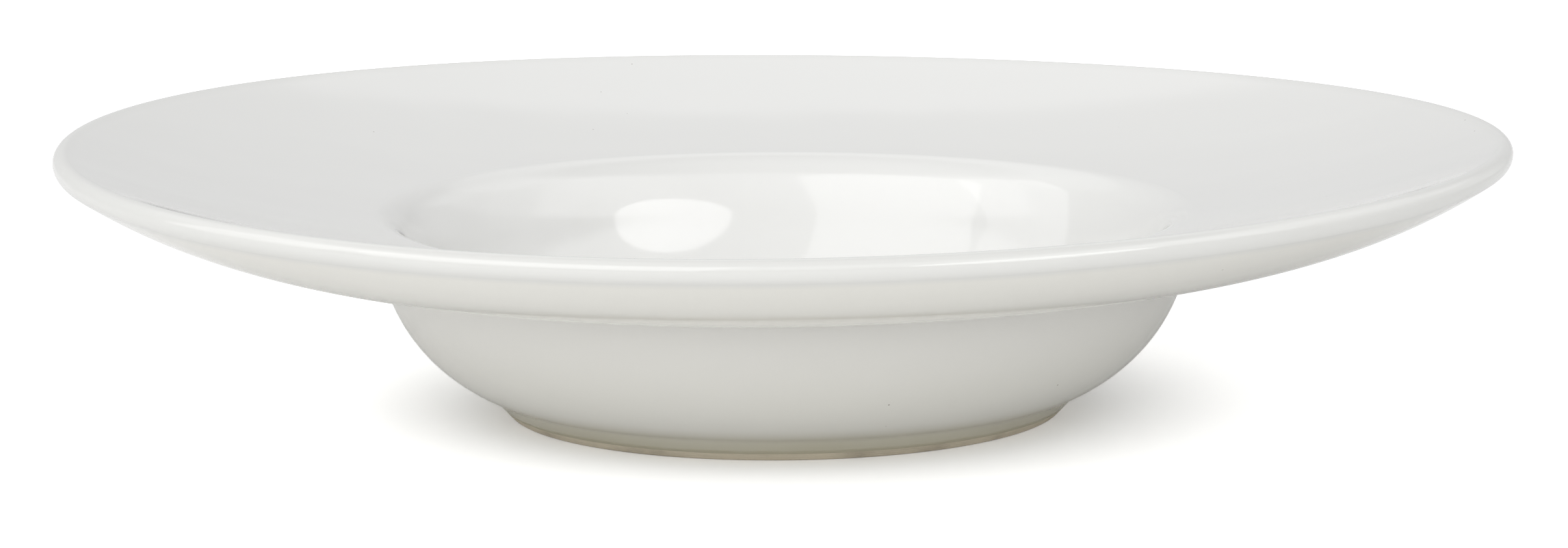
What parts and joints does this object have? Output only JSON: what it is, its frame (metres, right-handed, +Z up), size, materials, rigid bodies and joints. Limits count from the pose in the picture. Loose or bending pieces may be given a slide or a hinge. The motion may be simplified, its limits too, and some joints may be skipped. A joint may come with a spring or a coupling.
{
  "type": "deep plate",
  "caption": "Round white deep plate with a wide dished rim, heavy rounded edge, bowl-shaped well and low foot ring, for serving soup or pasta.",
  "frame": {"origin": "on the table, in the middle of the foot ring's seat", "axes": "+Z up along the plate's axis; the plate is round, so X and Y are free, and the picture looks along +Y"},
  "size_m": [0.29, 0.29, 0.0545],
  "materials": {
    "fired_clay": "bare fired porcelain, matt, seen only at the wiped seat of the foot ring",
    "white_glaze": "clear gloss glaze over white porcelain",
    "base_glaze": "the same gloss glaze, a little warmer where it pools inside the foot ring"
  },
  "bodies": {
    "root": {"porcelain_body": "fired_clay", "outer_glaze": "white_glaze", "base_glaze": "base_glaze"}
  },
  "joints": []
}
